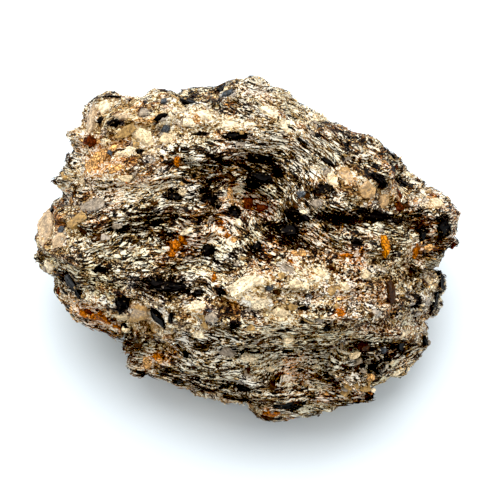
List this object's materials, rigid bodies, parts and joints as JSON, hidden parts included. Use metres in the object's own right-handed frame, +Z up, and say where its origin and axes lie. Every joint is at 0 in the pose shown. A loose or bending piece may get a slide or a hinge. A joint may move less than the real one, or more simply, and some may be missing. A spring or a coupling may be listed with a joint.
{
  "type": "biotite schist specimen",
  "caption": "Broken hand-sized lump of layered biotite schist with a hollow, ledges and a domed side, lying on a flat break.",
  "frame": {"origin": "centre of the bounding box in plan, at the flat break that the lump rests on", "axes": "+X along the longest extent, left to right across the lump; +Z up, its shortest extent; +Y away from the eye of the usual view, which looks down at 60 degrees"},
  "size_m": [0.1066, 0.0828, 0.0536],
  "materials": {
    "biotite_schist": "rough broken rock, glinting mica on cream feldspar and grey quartz, rust in places"
  },
  "bodies": {
    "root": {"schist_lump": "biotite_schist"}
  },
  "joints": []
}
